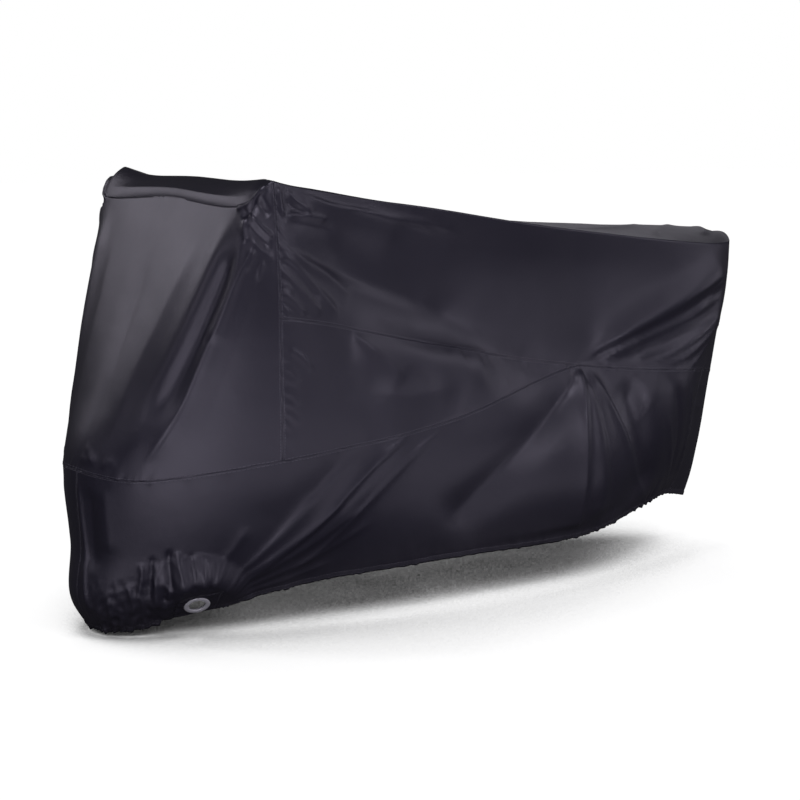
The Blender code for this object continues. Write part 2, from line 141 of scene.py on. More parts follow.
# Plan outlines. down is the share of the way from the top edge to the hem; y values are half widths.
Level = namedtuple(
    "Level", "down nose_x shoulder_x shoulder_y arch_x arch_y waist_y tip_y tail_x tail_y rear_x"
)
LEVELS = (
    Level(0.00, -0.600, -0.600, 0.342, -0.535, 0.385, 0.315, 0.235, 1.185, 0.112, 1.240),
    Level(0.12, -0.658, -0.642, 0.322, -0.530, 0.392, 0.288, 0.225, 1.170, 0.125, 1.230),
    Level(0.30, -0.748, -0.700, 0.288, -0.520, 0.388, 0.292, 0.240, 1.128, 0.145, 1.224),
    Level(0.44, -0.820, -0.738, 0.248, -0.510, 0.372, 0.330, 0.262, 1.065, 0.160, 1.213),
    Level(0.56, -0.880, -0.768, 0.215, -0.498, 0.358, 0.348, 0.300, 1.032, 0.168, 1.196),
    Level(0.80, -0.886, -0.782, 0.155, -0.486, 0.305, 0.338, 0.320, 1.012, 0.142, 1.164),
    Level(0.94, -0.888, -0.784, 0.128, -0.490, 0.248, 0.312, 0.288, 1.000, 0.110, 1.138),
    Level(1.00, -0.846, -0.768, 0.104, -0.500, 0.222, 0.296, 0.272, 0.985, 0.096, 1.118),
)

# Heights of the top edge, the two long seams and the hem at the stations
Height = namedtuple("Height", "girth edge seam_a seam_b hem")
HEIGHTS = (
    Height(NOSE, 1.093, 0.860, 0.434, 0.014),
    Height(SHOULDER, 1.083, 0.840, 0.418, 0.018),
    Height(ARCH, 1.142, 0.816, 0.456, 0.085),
    Height(WAIST, 1.062, 0.715, 0.505, 0.125),
    Height(TIP, 0.985, 0.610, 0.610, 0.122),
    Height(TAIL, 0.925, 0.545, 0.545, 0.157),
    Height(REAR, 0.945, 0.515, 0.515, 0.120),
)

# Main folds of the walls in millimetres, each a soft ridge (a trough if its rise is negative) between
# two girths and heights, with half widths at its ends. Girths below 0 lie on the far side.
Fold = namedtuple("Fold", "girth height end_girth end_height width end_width rise")
FOLDS = (
    (250, 1070, 220, 430, 30, 50, 7),  # edge of the front face
    (320, 1000, 250, 550, 30, 45, -10),
    (370, 1010, 270, 450, 25, 40, 10),  # second ridge, from under the peak
    (580, 1100, 920, 990, 30, 50, 6),  # from the peak along the body
    (620, 960, 1050, 780, 40, 60, 8),
    (580, 1000, 1420, 550, 65, 95, -16),  # dark hollow in the body's side
    (720, 760, 1200, 620, 60, 50, 12),  # swelling of the wedge
    (900, 500, 450, 120, 50, 50, 7),  # long diagonal of the skirt
    (780, 500, 460, 260, 60, 60, -5),
    (1440, 570, 1000, 200, 45, 70, -12),  # cone below the wedge's tip
    (1500, 620, 1550, 130, 40, 90, 22),
    (1640, 570, 1800, 200, 50, 80, -16),
    (1540, 630, 2030, 890, 45, 55, 14),  # rays from the tip to the tail's corner
    (1660, 620, 2040, 760, 50, 55, -10),
    (-240, 1060, -230, 450, 35, 50, 8),  # the far side hangs much the same
    (-350, 1000, -270, 500, 30, 45, 9),
    (-660, 1020, -1120, 800, 40, 70, 9),
    (-640, 970, -1400, 570, 65, 90, -13),
    (-950, 500, -520, 130, 55, 55, 11),
    (-1420, 560, -1080, 180, 50, 70, -10),
    (-1520, 600, -1500, 130, 45, 80, 18),
    (-1580, 630, -2020, 870, 50, 55, 12),
)
FOLD_FADE = 0.18  # share of a fold's length over which each end fades

# A crease has a path, half widths at its two ends, a rise, the share of the path over which each end
# fades, and a lean: above 0 the side on the left of the path is the steeper one
Crease = namedtuple("Crease", "path start end rise fade lean", defaults=(0.25, 0.0))
CREASE_REACH, CREASE_POWER, PATH_STEPS = 3.2, 1.35, 7


def crease(path, start, end, rise, *ends):
    """A crease from a row of the tables below, whose sizes are millimetres."""
    return Crease(np.reshape(path, (-1, 2)) / 1000, start / 1000, end / 1000, rise / 1000, *ends)


# Creases of the near wall: a path of girth and height, girth and height, and so on
NEAR_CREASES = (
    # the peak at the arch seam's top
    ((262, 1078, 330, 1088, 400, 1108, 492, 1136), 5, 7, 6.5, 0.12, 0.3),
    ((300, 1062, 380, 1072, 470, 1100), 12, 14, -9, 0.2),
    ((430, 1122, 455, 1090, 500, 1055), 10, 12, -6),
    ((352, 1068, 420, 1050, 508, 1008), 5, 6, 6, 0.15, 0.3),
    ((360, 1045, 420, 1025, 500, 985), 10, 10, -7),
    ((335, 1062, 350, 1030, 385, 998), 6, 6, 6, 0.2, 0.2),
    ((400, 1008, 440, 990, 510, 955), 7, 7, 4),
    ((430, 985, 415, 955, 400, 930), 6, 6, 3.5),
    ((470, 960, 455, 930, 450, 905), 5, 6, 3),
    # the second ridge, down the front
    ((425, 998, 385, 945, 352, 865, 330, 760), 8, 16, 6, 0.12, -0.3),
    ((338, 830, 320, 715, 304, 597, 264, 475, 236, 432), 6, 7, 4.2, 0.25, 0.4),
    ((372, 985, 330, 900, 292, 780, 262, 560), 30, 36, -4),
    ((455, 960, 425, 840, 395, 700, 360, 500), 40, 50, -3),
    # the front face
    ((10, 980, 30, 800, 60, 620, 70, 470), 50, 50, -2.4),
    ((170, 1020, 145, 840, 130, 660, 140, 480), 45, 50, 5),
    ((45, 470, 75, 462, 110, 470), 7, 7, 4, 0.25, 0.2),
    ((60, 500, 85, 476, 120, 452), 6, 7, 3.5, 0.25, 0.2),
    ((130, 450, 160, 462, 185, 458), 6, 7, 3, 0.25, 0.2),
    # beside the arch seam, at its top
    ((545, 1128, 543, 1090, 550, 1056), 6, 7, 6, 0.2, 0.2),
    ((572, 1122, 600, 1090, 645, 1062), 8, 10, 4.5, 0.25, -0.3),
    ((545, 1060, 600, 1060, 690, 1046), 6, 9, 5, 0.2, 0.3),
    ((560, 1100, 585, 1075, 620, 1064), 10, 10, -4.5),
    ((550, 1040, 620, 1036, 720, 1016), 12, 16, -3.5),
    # along the body's side
    ((590, 1122, 690, 1082, 800, 1060, 960, 1010), 7, 14, 5, 0.25, 0.4),
    ((740, 1072, 860, 1048, 960, 1014, 1010, 985), 6, 10, 4, 0.25, -0.3),
    ((860, 1056, 960, 1028, 1080, 990), 8, 14, 2.6),
    ((525, 998, 640, 950, 780, 895, 960, 820, 1150, 740), 30, 85, -10, 0.3, -0.4),
    ((530, 985, 640, 930, 800, 860, 960, 790), 8, 30, 3, 0.12, 0.3),
    # fan out of the arch seam
    ((523, 1000, 575, 972, 660, 925, 760, 850), 6, 18, 4, 0.12, 0.4),
    ((523, 975, 565, 950, 620, 895, 700, 812), 5, 14, 4.5, 0.12, 0.4),
    ((523, 958, 580, 920, 640, 850), 6, 12, -4, 0.12),
    ((523, 934, 552, 915, 598, 868, 640, 822), 4, 9, 4.5, 0.1, 0.4),
    ((523, 906, 545, 893, 560, 876), 4, 6, 3, 0.1, 0.3),
    ((523, 886, 556, 862, 592, 822), 4, 9, 4.2, 0.1, 0.4),
    ((523, 846, 536, 838, 550, 820), 4, 6, 3, 0.12, 0.3),
    # the wedge
    ((735, 764, 775, 735, 830, 690, 890, 630), 8, 34, 5, 0.15, 0.2),
    ((780, 610, 900, 590, 1050, 600), 40, 50, 5),
    ((700, 776, 860, 742, 1000, 716, 1200, 682), 40, 60, -4, 0.45),
    ((540, 740, 575, 715, 600, 680), 6, 9, 3, 0.15, 0.3),
    ((523, 700, 550, 682, 568, 655), 5, 7, 3, 0.12, 0.3),
    ((523, 640, 546, 625, 560, 600), 5, 6, 2.6, 0.12, 0.3),
    ((523, 585, 542, 570, 553, 550), 4, 6, 2.4, 0.12, 0.3),
    ((523, 530, 540, 518, 550, 500), 4, 6, 2, 0.12, 0.3),
    # long diagonals of the skirt
    ((905, 495, 800, 435, 700, 355, 580, 235, 462, 115), 6, 8, 4.2, 0.1, 0.4),
    ((880, 470, 760, 380, 640, 275, 520, 170), 10, 12, -2.8, 0.15),
    ((990, 495, 870, 410, 760, 315, 640, 200, 560, 130), 8, 12, 4, 0.15, -0.3),
    ((760, 470, 660, 400, 580, 310, 500, 200), 20, 20, 3),
    ((700, 470, 610, 380, 540, 280, 480, 190), 30, 24, -4),
    # fan out of the eyelet
    ((430, 118, 480, 180, 560, 300, 610, 370), 6, 20, 4, 0.15, 0.3),
    ((440, 112, 510, 182, 600, 265, 700, 350), 5, 18, 4, 0.15, 0.3),
    ((447, 104, 530, 165, 640, 240, 760, 320), 5, 16, 3.6, 0.15, -0.3),
    ((455, 100, 550, 145, 680, 205, 800, 270), 5, 14, 3, 0.15, -0.3),
    ((455, 94, 560, 122, 700, 165), 4, 10, 2.6, 0.15),
    ((410, 150, 440, 210, 470, 290), 6, 16, 3.5, 0.2),
    # the toe of the skirt, under the nose
    ((318, 120, 316, 160, 326, 196, 345, 208, 358, 190), 5, 5, 4.5, 0.12, 0.3),
    ((330, 110, 334, 150, 343, 185), 6, 6, -5, 0.15),
    ((300, 210, 312, 190, 314, 150), 6, 6, 3.5, 0.2, 0.3),
    ((372, 215, 395, 190, 400, 160), 5, 5, 3.5, 0.2),
    ((200, 120, 190, 90, 196, 50), 6, 6, 4.5, 0.2),
    ((285, 125, 292, 95, 286, 50), 5, 6, 6, 0.2, 0.2),
    ((345, 110, 335, 80, 342, 45), 5, 6, 6, 0.2, 0.2),
    ((330, 160, 332, 135, 340, 110), 8, 7, -11),
    ((355, 185, 362, 150, 360, 105), 6, 7, 6, 0.2),
    ((312, 180, 318, 130, 316, 80), 6, 7, 6, 0.2),
    ((250, 150, 262, 110, 268, 60), 8, 8, 5.5, 0.2),
    ((100, 400, 108, 300, 120, 170), 30, 28, -9, 0.2),
    ((52, 420, 60, 300, 85, 160, 110, 60), 8, 10, 5.5, 0.15, 0.3),
    ((155, 400, 165, 320, 185, 220), 30, 30, 4, 0.2, 0.4),
    ((335, 240, 338, 190, 348, 140, 350, 105), 6, 7, -7.5, 0.15),
    ((350, 232, 360, 190, 374, 150), 5, 6, 7, 0.15),
    ((374, 226, 380, 190, 386, 152), 6, 6, -6.5, 0.15),
    ((396, 218, 399, 185, 402, 150), 5, 5, 5.5, 0.15),
    ((420, 206, 416, 180, 410, 148), 6, 5, -5.5, 0.15),
    ((303, 222, 306, 170, 304, 110), 6, 6, -6, 0.15),
    ((280, 205, 284, 160, 278, 100), 6, 6, 6, 0.15),
    # rays from the wedge's tip to the tail
    ((1492, 618, 1620, 672, 1765, 735, 1890, 790, 2040, 846), 7, 20, 5, 0.1, -0.4),
    ((1520, 620, 1680, 672, 1840, 728, 2020, 800), 8, 16, -5, 0.12),
    ((1530, 612, 1680, 652, 1850, 708, 2030, 770), 5, 11, 4.2, 0.12, -0.3),
    ((1600, 608, 1760, 636, 1900, 680, 2040, 726), 6, 10, -3.5, 0.12),
    ((1700, 600, 1840, 622, 1950, 662, 2060, 712), 5, 10, 4.2, 0.12, 0.3),
    ((1840, 590, 1930, 612, 2000, 645, 2070, 692), 5, 10, 5, 0.15, 0.3),
    ((1960, 570, 2010, 598, 2060, 650), 5, 8, 4.5, 0.2, 0.3),
    ((1880, 720, 1980, 790, 2060, 870), 10, 14, 4, 0.2),
    # the cone under the tip
    ((1478, 600, 1400, 530, 1290, 450, 1140, 330, 1020, 220), 8, 50, -6, 0.08, 0.3),
    ((1482, 602, 1466, 480, 1456, 330, 1456, 150), 12, 95, 11, 0.06, 0.75),
    ((1492, 600, 1530, 480, 1565, 330, 1600, 150), 10, 50, -7, 0.08),
    ((1510, 594, 1620, 440, 1720, 300, 1850, 170), 8, 16, 5, 0.15, 0.3),
    ((1740, 590, 1860, 540, 1930, 430, 1930, 200), 50, 100, -5, 0.35, 0.5),
    # the rear corner of the skirt
    ((2010, 520, 2050, 430, 2075, 330, 2085, 210), 6, 8, 5.5, 0.12, 0.3),
    ((1900, 540, 1960, 430, 2000, 300, 2020, 200), 16, 20, -5, 0.15),
    ((1860, 470, 1930, 350, 1980, 260, 2030, 170), 10, 12, 3.5),
    ((2060, 655, 2110, 612, 2170, 596), 10, 16, 3.6, 0.4),
    ((2070, 712, 2120, 676, 2180, 660), 10, 14, 3.4, 0.4),
    ((2050, 590, 2110, 560, 2180, 548), 10, 14, 2.6, 0.4),
    ((2080, 512, 2140, 486, 2200, 492), 10, 14, 3, 0.4),
    ((2080, 448, 2150, 422, 2210, 436), 10, 16, 3.4, 0.4),
)

# Creases of the top: a path of places across and along, in thousandths of its half width and length
TOP_CREASES = (
    ((950, 600, 600, 720, 200, 800, -400, 840), 14, 20, 5),
    ((900, 800, 400, 830, -200, 900), 10, 14, 4.5, 0.25, 0.2),
    ((700, 900, 200, 930, -500, 940), 10, 10, 4),
    ((960, 140, 400, 200, -300, 300, -900, 440), 14, 24, 6, 0.25, 0.2),
    ((900, 160, 300, 300, -100, 450), 14, 26, -5),
    ((-960, 140, -400, 200, 300, 320, 900, 470), 14, 24, 5.5, 0.25, 0.2),
    ((-100, 120, 0, 300, 50, 500), 30, 50, -6),
    ((960, 60, 300, 50, -400, 60, -950, 50), 12, 12, 4),
    ((100, 550, -50, 700, 100, 860), 30, 40, -4),
)

# Puckers beside the seams: which seam and side of it, where they start and end, the spacing, how far
# they reach and their rise in millimetres, and the slant, along the seam for each step away from it
Puckers = namedtuple("Puckers", "seam side start end spacing reach rise slant")
PUCKERS = (
    ("arch", 1, 470, 1120, 18, 18, 3, -0.9),
    ("arch", -1, 470, 1120, 26, 10, 0.8, 0.5),
    ("seam_a", -1, 1000, 1470, 20, 40, 3.6, 0.35),
    ("seam_a", 1, 1100, 1500, 26, 18, 1.4, 0.6),
    ("seam_a", -1, 550, 950, 45, 14, 1, 0.3),
    ("seam_a", 1, 1500, 2240, 34, 18, 1.4, 0.5),
    ("seam_a", -1, 1500, 2240, 34, 18, 1.4, -0.5),
    ("seam_b", 1, 0, 300, 22, 22, 2.6, 0.3),
    ("seam_b", -1, 0, 500, 34, 16, 1.4, 0.3),
    ("seam_b", 1, 300, 1450, 36, 12, 0.9, 0.3),
    ("seam_b", -1, 500, 1450, 30, 14, 1.1, 0.4),
    ("hem", 1, 140, 370, 30, 70, 7.5, 0.25),
    ("hem", 1, 120, 370, 22, 35, -5, 0.1),
    ("hem", 1, 0, 130, 40, 45, 5, 0.2),
    ("hem", 1, 460, 1400, 30, 32, 4.8, -0.3),
    ("hem", 1, 1400, 1950, 36, 42, 6.5, 0.2),
    ("hem", 1, 1950, 2260, 28, 34, 4, 0.1),
)


def spline(knots, values, at):
    """Smooth curve through values at the knots. Each value may be a row with one entry a place."""
    knots, at = np.asarray(knots, float), np.asarray(at, float)
    values = np.asarray([np.broadcast_to(v, at.shape) for v in values], float)
    step = np.diff(knots).reshape(-1, *[1] * at.ndim)
    rise = np.diff(values, axis=0) / step
    inner = (rise[:-1] * step[1:] + rise[1:] * step[:-1]) / (step[:-1] + step[1:])
    slopes = np.concatenate([rise[:1], inner, rise[-1:]])
    i = np.clip(np.searchsorted(knots, at, side="right") - 1, 0, len(knots) - 2)
    h = knots[i + 1] - knots[i]
    t = (at - knots[i]) / h

    def pick(rows, j):
        return np.take_along_axis(rows, j[None], axis=0)[0]

    return (
        pick(values, i) * (2 * t**3 - 3 * t**2 + 1)
        + pick(values, i + 1) * (3 * t**2 - 2 * t**3)
        + h * pick(slopes, i) * (t**3 - 2 * t**2 + t)
        + h * pick(slopes, i + 1) * (t**3 - t**2)
    )


def ease(t):
    """0 below 0, 1 above 1, smooth between."""
    t = np.clip(t, 0.0, 1.0)
    return t * t * (3 - 2 * t)


def round_girth(values, girth, mirror=1.0):
    """Spline through a value for each station, carried on past nose and rear as if mirrored."""
    knots = (-SHOULDER, *STATIONS, 2 * REAR - TAIL)
    return spline(knots, (mirror * values[1], *values, mirror * values[-2]), np.abs(girth))


def peaked_girth(values, girth):
    """The same with a corner at the arch seam."""
    girth = np.abs(girth)
    knots = (-SHOULDER, *STATIONS, 2 * REAR - TAIL)
    values = (values[1], *values, values[-2])
    return np.where(girth < ARCH, spline(knots[:4], values[:4], girth), spline(knots[3:], values[3:], girth))


def height(column, girth):
    """Height of a named edge or seam at girth positions."""
    values = [getattr(row, column) for row in HEIGHTS]
    if column != "edge":
        return round_girth(values, girth)
    behind = np.clip((-girth - ARCH) / (REAR - ARCH), 0, 1)
    return peaked_girth(values, girth) - FAR_SAG * np.sin(pi * behind) ** 2


def plan(girth, down):
    """Plan position on the wall before the front is turned: girth is negative on the far side."""
    downs = [row.down for row in LEVELS]

    def at_level(column):
        return spline(downs, [getattr(row, column) for row in LEVELS], down)

    middle = (WAIST_X, TIP_X, at_level("tail_x"), at_level("rear_x"))
    x = round_girth((at_level("nose_x"), at_level("shoulder_x"), at_level("arch_x"), *middle), girth)
    widths = [at_level(c) for c in ("shoulder_y", "arch_y", "waist_y", "tip_y", "tail_y")]
    y = round_girth((0.0, *widths, 0.0), girth, mirror=-1.0)
    return x, np.where(girth >= 0, -y, y)


def turned(x, y):
    """The front part turned about its upright line."""
    angle = TURN * ease((TURN_PIVOT_X + TURN_BLEND - x) / TURN_BLEND)
    dx = x - TURN_PIVOT_X
    return TURN_PIVOT_X + dx * np.cos(angle) - y * np.sin(angle), dx * np.sin(angle) + y * np.cos(angle)


def wall(girth, z):
    """Points of the wall at girth positions and heights."""
    girth, z = np.broadcast_arrays(np.asarray(girth, float), np.asarray(z, float))
    edge, hem = height("edge", girth), height("hem", girth)
    x, y = turned(*plan(girth, (edge - z) / (edge - hem)))
    return np.stack([x, y, z], axis=-1)


def edge_point(girth):
    return wall(girth, height("edge", girth))


def roof(across, along):
    """Points of the top: across is -1 on the far edge and 1 on the near one, along 0 at the front."""
    across, along = np.broadcast_arrays(np.asarray(across, float), np.asarray(along, float))
    near, far = (1 + across[..., None]) / 2, (1 - across[..., None]) / 2
    back, ahead = along[..., None], 1 - along[..., None]
    front = edge_point(across * SHOULDER)
    rear = edge_point(np.where(across >= 0, 1, -1) * (REAR - (REAR - TAIL) * np.abs(across)))
    girth = SHOULDER + (TAIL - SHOULDER) * along
    sides = near * edge_point(girth) + far * edge_point(-girth)
    start, end = np.full(1, SHOULDER), np.full(1, TAIL)
    corners = ahead * (near * edge_point(start) + far * edge_point(-start))
    corners = corners + back * (near * edge_point(end) + far * edge_point(-end))
    point = ahead * front + back * rear + sides - corners
    point[..., 2] += crown(across, along)
    return point


def crown(across, along):
    """How far the top stands above, or sags below, the lines between its edges."""
    open_width = (1 - across**2) * ease(along / 0.12) * ease((1 - along) / 0.08)
    sag = -0.035 * np.exp(-(((along - 0.35) / 0.20) ** 2))
    hump = 0.022 * np.exp(-(((along - 0.88) / 0.16) ** 2))
    ends = ease((1 - np.abs(across)) / 0.14) * np.exp(-(((along - 0.13) / 0.08) ** 2))
    far_lift = 0.022 * np.exp(-(((across + 0.88) / 0.30) ** 2))
    near_lift = 0.008 * np.exp(-(((across - 0.88) / 0.30) ** 2))
    return open_width * (sag + hump) + ends * (far_lift + near_lift)


def wall_rise(girth, z):
    """How far the main folds lift the wall's surface."""
    girth, z = np.broadcast_arrays(girth, z)
    rise = np.zeros(girth.shape)
    for row in FOLDS:
        fold = Fold(*(size / 1000 for size in row))
        run = np.array((fold.end_girth - fold.girth, fold.end_height - fold.height))
        length = np.linalg.norm(run)
        run /= length
        along = ((girth - fold.girth) * run[0] + (z - fold.height) * run[1]) / length
        off = (girth - fold.girth) * run[1] - (z - fold.height) * run[0]
        width = fold.width + (fold.end_width - fold.width) * np.clip(along, 0, 1)
        fade = ease(along / FOLD_FADE) * ease((1 - along) / FOLD_FADE)
        rise += fold.rise * np.exp(-((off / width) ** 2)) * fade
    return rise


def lines(start, end, step, seams=""):
    """Places about a step apart, closer together beside a seam at the start (<) or at the end (>)."""
    low = start + SEAM_STEPS[-1] * ("<" in seams)
    high = end - SEAM_STEPS[-1] * (">" in seams)
    middle = np.linspace(low, high, max(2, round((high - low) / step) + 1))
    before = start + SEAM_STEPS[:-1] if "<" in seams else []
    after = end - SEAM_STEPS[-2::-1] if ">" in seams else []
    return np.concatenate([before, middle, after])


def row_shares(spans):
    """Places of the mesh rows down a panel, as shares of its depth."""
    return np.concatenate([[0.0], *(lines(*span)[1:] for span in spans)]) / spans[-1][1]


def girth_lines():
    """Girth positions of the mesh columns, from the middle of the nose to the middle of the rear."""
    found = [NOSE]
    for span in SPANS:
        found.extend(lines(*span)[1:])
    front = np.array([g for g in found if g <= SHOULDER + 1e-9])
    strip = REAR - (REAR - TAIL) * front[::-1] / SHOULDER
    return np.concatenate([found, strip[1:]])


class Skin:
    """The whole shell as one surface: points with their values, and cells with their panel's name."""

    def __init__(self):
        self.points, self.girth, self.height, self.rise, self.flat = [], [], [], [], []
        self.cells, self.names, self.count = [], [], 0

    def grid(self, points, girth, height, rise, flat, flip):
        """Adds a grid of points and returns their numbers."""
        rows, columns = points.shape[:2]
        ids = self.count + np.arange(rows * columns).reshape(rows, columns)
        self.count += ids.size
        self.points.append(points.reshape(-1, 3))
        for kept, values in ((self.girth, girth), (self.height, height), (self.rise, rise)):
            kept.append(np.broadcast_to(values, ids.shape).ravel())
        self.flat.append(flat.reshape(-1, 2))
        corners = [ids[:-1, :-1], ids[1:, :-1], ids[1:, 1:], ids[:-1, 1:]]
        cells = np.stack(corners[::-1] if flip else corners, axis=-1)
        return ids, cells

    def add(self, name, cells):
        """Gives these cells to a panel."""
        self.cells.append(cells.reshape(-1, 4))
        self.names.extend([name] * (cells.size // 4))

    def weld(self):
        """Joins points that coincide. The first one's values count, and the last one's flat place."""
        points, corners = np.concatenate(self.points), np.concatenate(self.cells)
        _, first, number = np.unique(np.round(points, 5), axis=0, return_index=True, return_inverse=True)
        number = number.ravel()
        cells = number[corners]
        last = np.zeros(len(first), dtype=int)
        last[cells.ravel()] = corners.ravel()
        values = [np.concatenate(kept)[first] for kept in (self.girth, self.height, self.rise)]
        return points[first], values, np.concatenate(self.flat)[last], cells, np.array(self.names), number


def normals_of(points, cells):
    """Outward unit normal of each point."""
    a, b, c, d = (points[cells[:, k]] for k in range(4))
    across = np.cross(c - a, d - b)
    found = np.zeros_like(points)
    for k in range(4):
        for axis in range(3):
            found[:, axis] += np.bincount(cells[:, k], across[:, axis], len(points))
    return found / np.maximum(np.linalg.norm(found, axis=1), 1e-12)[:, None]


def waves(points, seed, length, count=16):
    """Smooth seeded noise of about this wavelength, mostly between -1 and 1."""
    rng = np.random.default_rng(seed)
    ways = rng.normal(size=(count, 3))
    ways *= 2 * pi / length * rng.uniform(0.6, 1.5, (count, 1)) / np.linalg.norm(ways, axis=1)[:, None]
    phases = rng.uniform(0, 2 * pi, count)
    return np.sin(points @ ways.T + phases).sum(axis=1) / np.sqrt(count)


def along_path(path, points, normals, crease, hand):
    """How far a crease lifts each point. path holds 3-D points, and hand is -1 if it is mirrored."""
    lifted = np.zeros(len(points))
    reach = CREASE_REACH * max(crease.start, crease.end)
    near = np.flatnonzero(np.all((points > path.min(0) - reach) & (points < path.max(0) + reach), axis=1))
    a, run = path[:-1], np.diff(path, axis=0)
    length = np.linalg.norm(run, axis=1)
    begun = np.concatenate([[0], np.cumsum(length)])[:-1]
    rel = points[near][:, None] - a
    t = np.clip((rel * run).sum(-1) / length**2, 0, 1)
    off = rel - t[..., None] * run
    k = np.argmin((off**2).sum(-1), axis=1)
    pick = np.arange(len(near))
    off, t = off[pick, k], t[pick, k]
    along = (begun[k] + t * length[k]) / length.sum()
    left = np.sign((np.cross(normals[near], run[k]) * off).sum(-1)) * hand
    width = (crease.start + (crease.end - crease.start) * along) * (1 - crease.lean * left)
    shape = np.exp(-((np.linalg.norm(off, axis=1) / width) ** CREASE_POWER))
    lifted[near] = crease.rise * shape * ease(along / crease.fade) * ease((1 - along) / crease.fade)
    return lifted


def smooth_path(corners, place):
    """The path as points on the surface that place gives, through its corners."""
    last = len(corners) - 1
    at = np.linspace(0, last, PATH_STEPS * last + 1)
    first, second = (spline(np.arange(last + 1), corners[:, k], at) for k in range(2))
    return place(first, second)


def creases_rise(points, normals):
    """All the drawn creases: the near side's, the top's, and the far side's, which differ a little."""
    rng = np.random.default_rng(FAR_SEED)
    found = np.zeros(len(points))
    near = [crease(*row) for row in NEAR_CREASES]
    for own in near:
        found += along_path(smooth_path(own.path, wall), points, normals, own, 1)
    for own in near:
        first_girth = own.path[:, 0].min()
        if rng.random() < FAR_SKIP or first_girth < FAR_START:
            continue
        path = own.path + rng.uniform(-FAR_NUDGE, FAR_NUDGE, 2) * (first_girth > NUDGE_START)
        path[:, 0] = -np.abs(path[:, 0])
        other = own._replace(rise=own.rise * rng.uniform(0.5, 1.0))
        found += along_path(smooth_path(path, wall), points, normals, other, -1)
    for own in (crease(*row) for row in TOP_CREASES):
        found += along_path(smooth_path(own.path, roof), points, normals, own, 1)
    return found


def seam_places(girth, z, points):
    """For each seam: the points' place along it, signed distance from it, and where it exists."""
    g = np.abs(girth)
    top = np.isnan(z)
    low = np.where(top, 9.0, z)
    seam_a = height("seam_a", girth)
    seam_b = np.where(g < TIP, height("seam_b", girth), seam_a)
    over = low > seam_b - 0.001
    return {
        "arch": (np.where(top, points[:, 1] + 1.5, low), g - ARCH, over),
        "seam_a": (g, low - seam_a, g > ARCH - 0.001),
        "seam_b": (g, low - seam_b, g < TIP + 0.001),
        "hem": (g, low - height("hem", girth), ~top),
        "nose": (low, girth - NOSE_SEAM, ~over & ~top),
        "rear": (low, girth - TAIL, ~top),
    }


def puckers_rise(places, girth):
    """Small uneven gathers beside the seams and along the hem."""
    rng = np.random.default_rng(PUCKER_SEED)
    found = np.zeros(len(girth))
    for seam, beyond, *sizes, lean in PUCKERS:
        row = Puckers(seam, beyond, *(size / 1000 for size in sizes), lean)
        run, away, exists = places[row.seam]
        away = away * row.side
        beside = exists & (away >= 0) & (away < 4 * row.reach)
        for side in (1, -1):
            own = np.flatnonzero(beside & (girth * side >= 0))
            u, v = run[own], away[own]
            lifted = np.zeros(len(own))
            at = row.start
            while at < row.end:
                width = row.spacing * rng.uniform(0.20, 0.40)
                reach, slant = row.reach * rng.uniform(0.6, 1.4), row.slant * rng.uniform(0.4, 1.6)
                rise = row.rise * rng.uniform(0.3, 1.3)
                off = (u - at - slant * v) / (width * (1 + 0.6 * v / reach))
                lifted += rise * np.exp(-(off**2)) * np.exp(-((v / reach) ** 1.3))
                at += row.spacing * rng.uniform(0.6, 1.5)
            found[own] += lifted
    return found


def welts(places):
    """The folded edges beside each seam, and the groove between them."""
    found = 0.0
    for name in ("arch", "seam_a", "seam_b", "nose", "rear"):
        _, away, exists = places[name]
        edge = np.exp(-(((np.abs(away) - WELT_AWAY) / WELT_WIDTH) ** 2))
        groove = np.exp(-((away / GROOVE_WIDTH) ** 2))
        found = found + np.where(exists, WELT * (edge - GROOVE_SHARE * groove), 0.0)
    _, away, exists = places["hem"]
    band = ease((HEM_BAND + 0.001 - away) / 0.002)
    groove = np.exp(-(((away - HEM_BAND) / GROOVE_WIDTH) ** 2))
    return found + np.where(exists, HEM_RISE * band - HEM_GROOVE * groove, 0.0)


def nearest_seam(places):
    """Distance to the nearest seam or hem stitching, and the place along it."""
    away, run = np.full(len(places["hem"][0]), 1.0), np.zeros(len(places["hem"][0]))
    for name, (along, off, exists) in places.items():
        off = np.abs(off - HEM_BAND + STITCH) if name == "hem" else np.abs(off)
        closer = exists & (off < away)
        away, run = np.where(closer, off, away), np.where(closer, along, run)
    return away, run


def eyelet_place(side):
    """Centre of the cloth's outer face at an eyelet, and its outward way, from the eyelet's solid."""
    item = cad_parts["eyelet_" + side]
    points = np.array([item.matrix_world @ v.co for v in item.data.vertices])
    middle = points.mean(0)
    normal = np.linalg.svd(points - middle)[2][-1]
    normal *= np.sign(normal[1]) * (-1 if side == "near" else 1)
    return middle + normal * (((points - middle) @ normal).max() - EYELET_LIP), normal


def skirt_panel(side, girth, share):
    """Which lower piece each cell belongs to, by the middle of the cell."""
    name = np.full(girth.shape, "skirt_far", dtype=object)
    if side > 0:
        name[(girth > NOSE_SEAM) & (girth < TAIL)] = "skirt_near"
    patch = (girth > TAB_GIRTH[0]) & (girth < TAB_GIRTH[1]) & (share > TAB_SHARE)
    name[patch] = "eyelet_tab_near" if side > 0 else "eyelet_tab_far"
    return name


